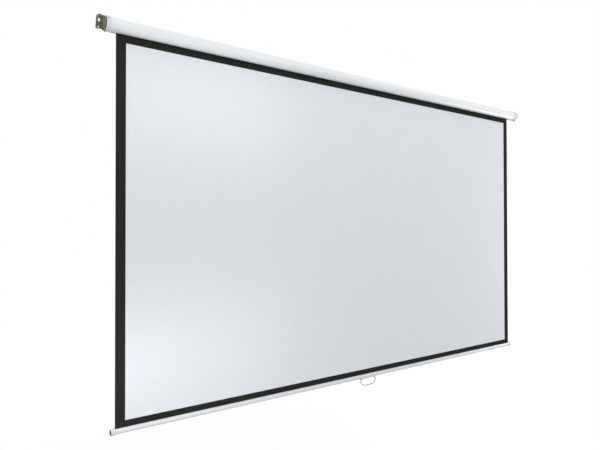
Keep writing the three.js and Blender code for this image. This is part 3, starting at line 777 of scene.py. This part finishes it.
shaft_finish = plated_steel("shaft_zinc", shaft_zinc, 0.4)
for end, side in ends.items():
    plate_outside = inner_end(f"wall_bracket_{end}", side) + side * sheet
    for height_name in ("upper", "lower"):
        node = f"bracket_rivet_{end}_{height_name}"
        low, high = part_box(node)
        length = abs(plate_outside - inner_end(node, side))
        rivet_profile = [
            (-length, 0),
            (-length, rivet_head),
            (-length + rivet_inner_head, rivet_head),
            (-length + rivet_inner_head, rivet_shank),
            (0, rivet_shank),
        ] + dome(0, rivet_head, rivet_dome) + [(rivet_dome, 0)]
        place = outwards(side, plate_outside, axis_y, (low.z + high.z) / 2)
        rivet_mesh = turned(node, rivet_profile, place, 40, bracket_plating)
        seat(f"{node}_head", rivet_mesh, "casing", "bracket_steel", node)
    node = {"left": "idle_pin", "right": "spring_spindle"}[end]
    low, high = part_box(node)
    head_radius = (high.z - low.z) / 2
    shaft_radius = head_radius - peen_proud
    length = abs(plate_outside - inner_end(node, side))
    shaft_profile = soften([(-length, 0), (-length, shaft_radius), (0, shaft_radius)], shaft_end_round)
    shaft_profile += dome(0, head_radius, peen_height)[:-2]
    shaft_profile += [
        (peen_height, head_radius * dimple_rim_share),
        (peen_height - peen_dimple, head_radius * dimple_foot_share),
        (peen_height - peen_dimple, 0),
    ]
    place = outwards(side, plate_outside, axis_y, axis_z)
    shaft_mesh = turned(node, shaft_profile, place, 48, shaft_finish)
    seat(f"{node}_turned", shaft_mesh, "casing", "zinc_steel", node)

# Screen fabric: a coated cloth, white in front and black behind, that comes off the back of the
# roller and is pulled flat by the bar. A black border is printed round the picture.
picture_white = (221, 224, 229)
border_black = (42, 42, 40)
back_black = (34, 34, 34)
side_border = 41 * mm
bottom_border = 27.7 * mm
picture_height = 1494 * mm
border_cells = 2
picture_columns = 92
picture_rows = 52
ripple_height = 0.45 * mm
ripple_fullness = 0.7
# Each wave has a length in metres, turns from top to foot, a start in radians, and a share.
ripple_waves = ((1.271, 0.35, 0, 0.65), (0.41, 0.8, 1.3, 0.35))
thread_pitch = 1.1 * mm


def make_plain_weave():
    """Shared effect: threads over and under each other in X and Z, as a colour and a height."""
    group, given = new_effect("plain_weave", Colour="Color", Shade="Float", Threads="Float")
    place = group.nodes.new("ShaderNodeTexCoord")
    split = group.nodes.new("ShaderNodeSeparateXYZ")
    group.links.new(place.outputs["Object"], split.inputs[0])
    waves = [
        calculate(group, "SINE", calculate(group, "MULTIPLY", split.outputs[axis], given["Threads"]))
        for axis in ("X", "Z")
    ]
    crossing = calculate(group, "MULTIPLY", *waves)
    factor = calculate(group, "MULTIPLY_ADD", crossing, given["Shade"], 1)
    end_effect(group, given["Colour"], factor, crossing)
    return group


plain_weave = make_plain_weave()


def coated_cloth(name, colour, roughness, drift, fleck, shade, shine):
    """Cloth under a matte coating: slow drifts and flecks of tone over the faint threads."""
    finish, tree, shader = new_finish(name, roughness)
    clouds, flecks = (drift, (2.6, 2.6, 2.6)), (fleck, (110, 110, 60))
    grain = grain_colour(tree, shader, colour, clouds, flecks)
    threads = place_effect(
        tree, plain_weave, grain.outputs["Colour"], Shade=shade, Threads=2 * math.pi / thread_pitch)
    tree.links.new(threads.outputs["Colour"], shader.inputs["Base Color"])
    add_bump(tree, shader, threads.outputs["Height"], 0.04 * mm, 0.5)
    shader.inputs["Specular IOR Level"].default_value = shine
    return finish


def ripple(x, z):
    """How far the hanging cloth stands off its plane: long low waves that die out at top and bar."""
    down = (fabric_high.z - z) / (fabric_high.z - fabric_low.z)
    hold = math.sin(math.pi * down) ** ripple_fullness if 0 < down < 1 else 0
    waves = sum(
        share * math.sin(2 * math.pi * (x / length + turns * down) + start)
        for length, turns, start, share in ripple_waves)
    return ripple_height * hold * waves


def hanging_sheet(columns_x, rows_z, front, back, keep_cell):
    """A thin closed sheet between two depths, with a cell where keep_cell(column, row) is true."""
    bm = bmesh.new()
    layers = [
        {(i, k): bm.verts.new((x, depth + ripple(x, z), z))
         for i, x in enumerate(columns_x) for k, z in enumerate(rows_z)}
        for depth in (front, back)
    ]
    cells = {
        (i, k) for i in range(len(columns_x) - 1) for k in range(len(rows_z) - 1) if keep_cell(i, k)
    }
    for i, k in cells:
        square = [(i, k), (i + 1, k), (i + 1, k + 1), (i, k + 1)]
        bm.faces.new([layers[0][c] for c in square])
        behind = bm.faces.new([layers[1][c] for c in reversed(square)])
        behind.material_index = 1
        neighbours = ((i, k - 1), (i + 1, k), (i, k + 1), (i - 1, k))
        for neighbour, a, b in zip(neighbours, square, square[1:] + square[:1]):
            if neighbour not in cells:
                rim = bm.faces.new((layers[0][b], layers[0][a], layers[1][a], layers[1][b]))
                rim.material_index = 1
    loose = [v for v in bm.verts if not v.link_faces]
    bmesh.ops.delete(bm, geom=loose, context="VERTS")
    return bm


def spaced(start, end, count):
    """The ends of count equal steps from start to end."""
    return [start + (end - start) * i / count for i in range(count + 1)]


picture_cloth = coated_cloth("picture_coating", picture_white, 0.85, 0.025, 0.12, 0.015, 0.2)
border_print = coated_cloth("border_print", border_black, 0.8, 0.1, 0.2, 0.12, 0.02)
back_coating = coated_cloth("back_coating", back_black, 0.8, 0.1, 0.15, 0.12, 0.15)

fabric_bm = hanging_sheet(
    spaced(fabric_low.x, fabric_high.x, picture_columns + 2 * border_cells),
    spaced(fabric_low.z, fabric_high.z, picture_rows + 2 * border_cells),
    fabric_low.y, fabric_high.y, lambda i, k: True)
fabric_mesh = make_mesh("hanging_fabric", fabric_bm, picture_cloth, back_coating)
hanging_fabric = seat("hanging_fabric", fabric_mesh, "casing", "picture_fabric", "screen_fabric")

picture_half = fabric_high.x - side_border
picture_foot = fabric_low.z + bottom_border
picture_top = picture_foot + picture_height
border_x = spaced(fabric_low.x, -picture_half, border_cells)
border_x += spaced(-picture_half, picture_half, picture_columns)[1:-1]
border_x += spaced(picture_half, fabric_high.x, border_cells)
border_z = spaced(fabric_low.z, picture_foot, border_cells)
border_z += spaced(picture_foot, picture_top, picture_rows)[1:-1]
border_z += spaced(picture_top, fabric_high.z, border_cells)


def on_border(i, k):
    """Is this cell outside the picture?"""
    inside_across = border_cells <= i < border_cells + picture_columns
    inside_down = border_cells <= k < border_cells + picture_rows
    return not (inside_across and inside_down)


border_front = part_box("black_border")[0].y
border_bm = hanging_sheet(border_x, border_z, border_front, fabric_low.y, on_border)
border_mesh = make_mesh("printed_border", border_bm, border_print, border_print)
printed_border = seat("printed_border", border_mesh, "casing", "border_fabric", "black_border")

# Turns of fabric left on the roller: the black top of the cloth, glued to the tube and wound on
# it for the first turns, so that the picture can come right down.
wrap_low, wrap_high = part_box("fabric_wraps")
wrap_outer = (wrap_high.z - wrap_low.z) / 2
wrap_clearance = 0.3 * mm
wrap_inner = (roller_high.z - roller_low.z) / 2 + wrap_clearance
wrap_turns = 1.9
wrap_sheet = 0.2 * mm
wrap_steps = 150


def wound_strip(turns, thickness, inner, outer):
    """The section of a strip wound from inner to outer, as a closed (y, z) outline."""
    outside, inside = [], []
    for i in range(wrap_steps + 1):
        share = i / wrap_steps
        angle = 2 * math.pi * turns * share
        radius = inner + (outer - thickness - inner) * share
        for face, reach in ((outside, radius + thickness), (inside, radius)):
            face.append((reach * math.cos(angle), reach * math.sin(angle)))
    return outside + inside[::-1]


def extruded(name, outline, y, z, ends_x, *finishes):
    """A solid with one (y, z) outline round an axis, between two places along X."""
    return skinned(name, [ring_at(x, outline, y, z) for x in ends_x], *finishes)


wrap_outline = wound_strip(wrap_turns, wrap_sheet, wrap_inner, wrap_outer)
wrap_ends = (wrap_low.x, wrap_high.x)
wrap_mesh = extruded("wound_fabric", wrap_outline, axis_y, axis_z, wrap_ends, back_coating)
wound_fabric = seat("wound_fabric", wrap_mesh, "roller", "border_fabric", "fabric_wraps")

# Weight bar: a round drawn-aluminium tube, painted white, with a groove along its top that takes
# the fabric's hem. Its weight pulls the fabric flat.
bar_low, bar_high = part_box("bottom_bar")
bar_y = (bar_low.y + bar_high.y) / 2
ferrule_low, ferrule_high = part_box("bar_ferrule_left")
bar_z = (ferrule_low.z + ferrule_high.z) / 2
bar_radius = (bar_high.y - bar_low.y) / 2
bar_wall = 1.3 * mm
groove_half = 1.5 * mm
bar_white = (211, 214, 219)


def grooved_ring(outer, inner, half, steps):
    """The bar's section: a ring with a groove of parallel sides at the top, in (y, z)."""
    top = math.pi / 2
    outer_edge = math.asin(half / outer)
    inner_edge = math.asin(half / inner)
    outside = arc((0, 0), outer, top + outer_edge, top + 2 * math.pi - outer_edge, steps)
    inside = arc((0, 0), inner, top + 2 * math.pi - inner_edge, top + inner_edge, steps)
    return outside + inside


bar_paint = painted_steel("bar_paint", bar_white, 0.3)
bar_outline = grooved_ring(bar_radius, bar_radius - bar_wall, groove_half, 72)
bar_mesh = extruded("weight_bar", bar_outline, bar_y, bar_z, (bar_low.x, bar_high.x), bar_paint)
seat("weight_bar", bar_mesh, "bar", "bar_paint", "bottom_bar")

# Hem: the foot of the fabric, sewn into a sleeve round a steel rod. It is thicker than the bar's
# groove, so it can't pull out.
hem_low, hem_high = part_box("fabric_hem")
hem_z = (hem_low.z + hem_high.z) / 2
hem_outer = (hem_high.z - hem_low.z) / 2
hem_thickness = 0.4 * mm
hem_edge_round = 0.1 * mm
hem_profile = soften([
    (hem_low.x, hem_outer - hem_thickness),
    (hem_low.x, hem_outer),
    (hem_high.x, hem_outer),
    (hem_high.x, hem_outer - hem_thickness),
], hem_edge_round, closed=True)
hem_mesh = turned("sewn_hem", hem_profile, Matrix.Translation((0, bar_y, hem_z)), 40, back_coating)
sewn_hem = seat("sewn_hem", hem_mesh, "bar", "border_fabric", "fabric_hem")

joints = {joint["name"]: joint for joint in frame["joints"]}
for cloth in (hanging_fabric, printed_border):
    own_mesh(cloth)

# Bar ends: a white ferrule pushed over each end of the bar, and a black plug with a shallow dish
# pressed into it.
ferrule_round = 0.4 * mm
ferrule_clearance = 0.1 * mm
plug_black = (24, 23, 22)
plug_flange = 3 * mm
plug_clearance = 0.3 * mm
plug_dish = 0.8 * mm
plug_rim = 1.5 * mm
plug_round = 0.25 * mm

bar_plastic = moulded_plastic("bar_end_plastic", (206, 208, 211), 0.45)
plug_plastic = moulded_plastic("plug_plastic", plug_black, 0.55)
for end, side in ends.items():
    node = f"bar_ferrule_{end}"
    low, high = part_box(node)
    outer = (high.z - low.z) / 2
    inner = bar_radius + ferrule_clearance
    length = high.x - low.x
    ferrule_profile = soften(
        [(0, inner), (0, outer), (length, outer), (length, inner)], ferrule_round, closed=True)
    place = outwards(side, inner_end(node, side), bar_y, bar_z)
    ferrule_mesh = turned(f"ferrule_{end}", ferrule_profile, place, 72, bar_plastic)
    seat(f"ferrule_{end}", ferrule_mesh, "bar", "cap_plastic", node)
    node = f"bar_plug_{end}"
    low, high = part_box(node)
    length = high.x - low.x
    spigot = bar_radius - bar_wall - plug_clearance
    plug_profile = soften([
        (0, 0),
        (0, spigot),
        (length - plug_flange, spigot),
        (length - plug_flange, bar_radius),
        (length, bar_radius),
        (length, bar_radius - plug_rim),
        (length - plug_dish, bar_radius - plug_rim - plug_dish),
        (length - plug_dish, 0),
    ], plug_round)
    place = outwards(side, inner_end(node, side), bar_y, bar_z)
    plug_mesh = turned(f"plug_{end}", plug_profile, place, 72, plug_plastic)
    seat(f"plug_{end}", plug_mesh, "bar", "black_plastic", node)

# Handle saddle: a moulded clip round the lower front of the bar, riveted from below, with a lug
# at each end that takes the handle's wire.
saddle_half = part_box("handle_saddle")[1].x
pivot = joints["handle_swing"]["pos_m"]
pivot_y = pivot[1] - bar_y
pivot_z = pivot[2] - bar_z
pivot_angle = math.atan2(pivot_z, pivot_y)
saddle_clearance = 0.3 * mm
saddle_thickness = 1.85 * mm
saddle_inner = bar_radius + saddle_clearance
saddle_outer = saddle_inner + saddle_thickness
saddle_front_top = math.radians(165)
saddle_rear_foot = math.radians(320)
saddle_edge_round = 0.3 * mm
lug_length = 4 * mm
lug_radius = 4 * mm
lug_root = 1.02 * saddle_inner
handle_low, handle_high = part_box("pull_handle")
wire_radius = (handle_high.y - handle_low.y) / 2
wire_clearance = 0.3 * mm
saddle_white = (214, 216, 220)

saddle_plastic = moulded_plastic("saddle_plastic", saddle_white, 0.4)
saddle_section = arc((0, 0), saddle_outer, saddle_front_top, saddle_rear_foot, 48)
saddle_section += arc((0, 0), saddle_inner, saddle_rear_foot, saddle_front_top, 48)
saddle_ends = (-saddle_half, saddle_half)
saddle_mesh = extruded("saddle", saddle_section, bar_y, bar_z, saddle_ends, saddle_plastic)
across = pivot_angle - math.pi / 2
half_neck = Vector((lug_radius * math.cos(across), lug_radius * math.sin(across)))
root = Vector((lug_root * math.cos(pivot_angle), lug_root * math.sin(pivot_angle)))
lug_outline = arc((pivot_y, pivot_z), lug_radius, across, across + math.pi, 20)
lug_outline += [tuple(root - half_neck), tuple(root + half_neck)]
for from_x in (-saddle_half, saddle_half - lug_length):
    lug_ends = (from_x, from_x + lug_length)
    lug = extruded("lug", lug_outline, bar_y, bar_z, lug_ends, saddle_plastic)
    saddle_mesh = combine(saddle_mesh, lug, "UNION")
bore_half = 1.2 * saddle_half
for radius, y, z in ((saddle_inner, 0, 0), (wire_radius + wire_clearance, pivot_y, pivot_z)):
    bore_profile = [(-bore_half, 0), (-bore_half, radius), (bore_half, radius), (bore_half, 0)]
    bore = turned("bore", bore_profile, Matrix.Translation((0, bar_y + y, bar_z + z)), 64)
    saddle_mesh = combine(saddle_mesh, bore, "DIFFERENCE")
saddle_mesh = round_edges(saddle_mesh, saddle_edge_round, angle=50)
saddle_mesh.set_sharp_from_angle(angle=math.radians(40))
seat("saddle", saddle_mesh, "bar", "cap_plastic", "handle_saddle")

# Saddle rivets: two blind rivets of plated steel, set from below through the saddle into the
# bar's wall. They keep the saddle from turning and from sliding along the bar.
saddle_rivet_head = 1 * mm
saddle_rivet_shank = 1.5 * mm
x_down = Matrix.Rotation(math.pi / 2, 4, "Y")
for end in ends:
    node = f"saddle_rivet_{end}"
    low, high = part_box(node)
    radius = (high.x - low.x) / 2
    length = high.z - low.z - saddle_rivet_head
    head_foot = Vector(((low.x + high.x) / 2, bar_y, low.z + saddle_rivet_head))
    rivet_profile = [(-length, 0), (-length, saddle_rivet_shank), (0, saddle_rivet_shank)]
    rivet_profile += dome(0, radius, saddle_rivet_head) + [(saddle_rivet_head, 0)]
    place = Matrix.Translation(head_foot) @ x_down
    rivet_mesh = turned(node, rivet_profile, place, 32, shaft_finish)
    seat(f"{node}_head", rivet_mesh, "bar", "zinc_steel", node)

# Pull handle: one length of 4 mm plated wire, bent to a wide D. Its ends turn in through the
# saddle's lugs, so it swings.
handle_half = 54 * mm
handle_depth = 36 * mm
handle_bend = 4 * mm
handle_hook = 3 * mm
handle_squareness = 2.8
handle_bend_steps = 6
handle_bow_steps = 48
handle_grey = (128, 130, 130)


def handle_route():
    """The wire's middle line: a short straight through each lug, a tight bend, and the wide bow."""
    right = [
        (saddle_half - lug_length - handle_hook, 0),
        ((saddle_half + handle_half - handle_bend) / 2, 0),
    ]
    bend_start = handle_half - handle_bend
    for i in range(handle_bend_steps + 1):
        a = math.pi / 2 * i / handle_bend_steps
        right.append((bend_start + handle_bend * math.sin(a), handle_bend * (math.cos(a) - 1)))
    bow = []
    power = 2 / handle_squareness
    for i in range(1, handle_bow_steps):
        a = math.pi * i / handle_bow_steps
        x = handle_half * math.copysign(abs(math.cos(a)) ** power, math.cos(a))
        bow.append((x, -handle_bend - (handle_depth - handle_bend) * math.sin(a) ** power))
    left = [(-x, z) for x, z in reversed(right)]
    return [Vector((x, bar_y + pivot_y, bar_z + pivot_z + z)) for x, z in right + bow + left]


def wire_along(route, radius, steps):
    """The rings of a round wire along a route that lies in an X, Z plane."""
    rings = []
    for i, here in enumerate(route):
        before, after = route[max(i - 1, 0)], route[min(i + 1, len(route) - 1)]
        ahead = (after - before).normalized()
        sideways = Vector((0, 1, 0))
        upwards = ahead.cross(sideways)
        angles = [2 * math.pi * k / steps for k in range(steps)]
        rings.append([here + radius * (math.cos(a) * sideways + math.sin(a) * upwards) for a in angles])
    return rings


wire_zinc = plated_steel("handle_wire_zinc", handle_grey, 0.35, cells=(180, 180, 180), spread=0.1)
wire_rings = wire_along(handle_route(), wire_radius, 24)
handle_mesh = skinned("handle_wire", wire_rings, wire_zinc)
seat("handle_wire", handle_mesh, "handle", "zinc_steel", "pull_handle")

# The pieces inside the casing and the bar keep their plain machined shapes: a galvanised roller
# tube, nylon plugs, the ratchet and pawls of plated steel, and the oiled spring.
galvanised = plated_steel("galvanised_tube", (150, 154, 156), 0.42, cells=(60, 60, 60), spread=0.3)
ratchet_steel = plated_steel("ratchet_zinc", (168, 172, 172), 0.38)
oiled_spring = plated_steel("oiled_spring", (84, 85, 88), 0.3, cells=(400, 400, 400))
grey_nylon = moulded_plastic("grey_nylon", (157, 163, 166), 0.6)
for finish, nodes in (
    (galvanised, ("roller_tube", "hem_rod")),
    (ratchet_steel, ("ratchet_wheel", "upper_pawl", "lower_pawl", "upper_pawl_pin", "lower_pawl_pin")),
    (oiled_spring, ("torsion_spring",)),
    (grey_nylon, ("spring_anchor", "spring_plug", "idle_plug", "ratchet_plug")),
):
    for node in nodes:
        shown = frame["nodes"][node].data
        shown.materials.clear()
        shown.materials.append(finish)
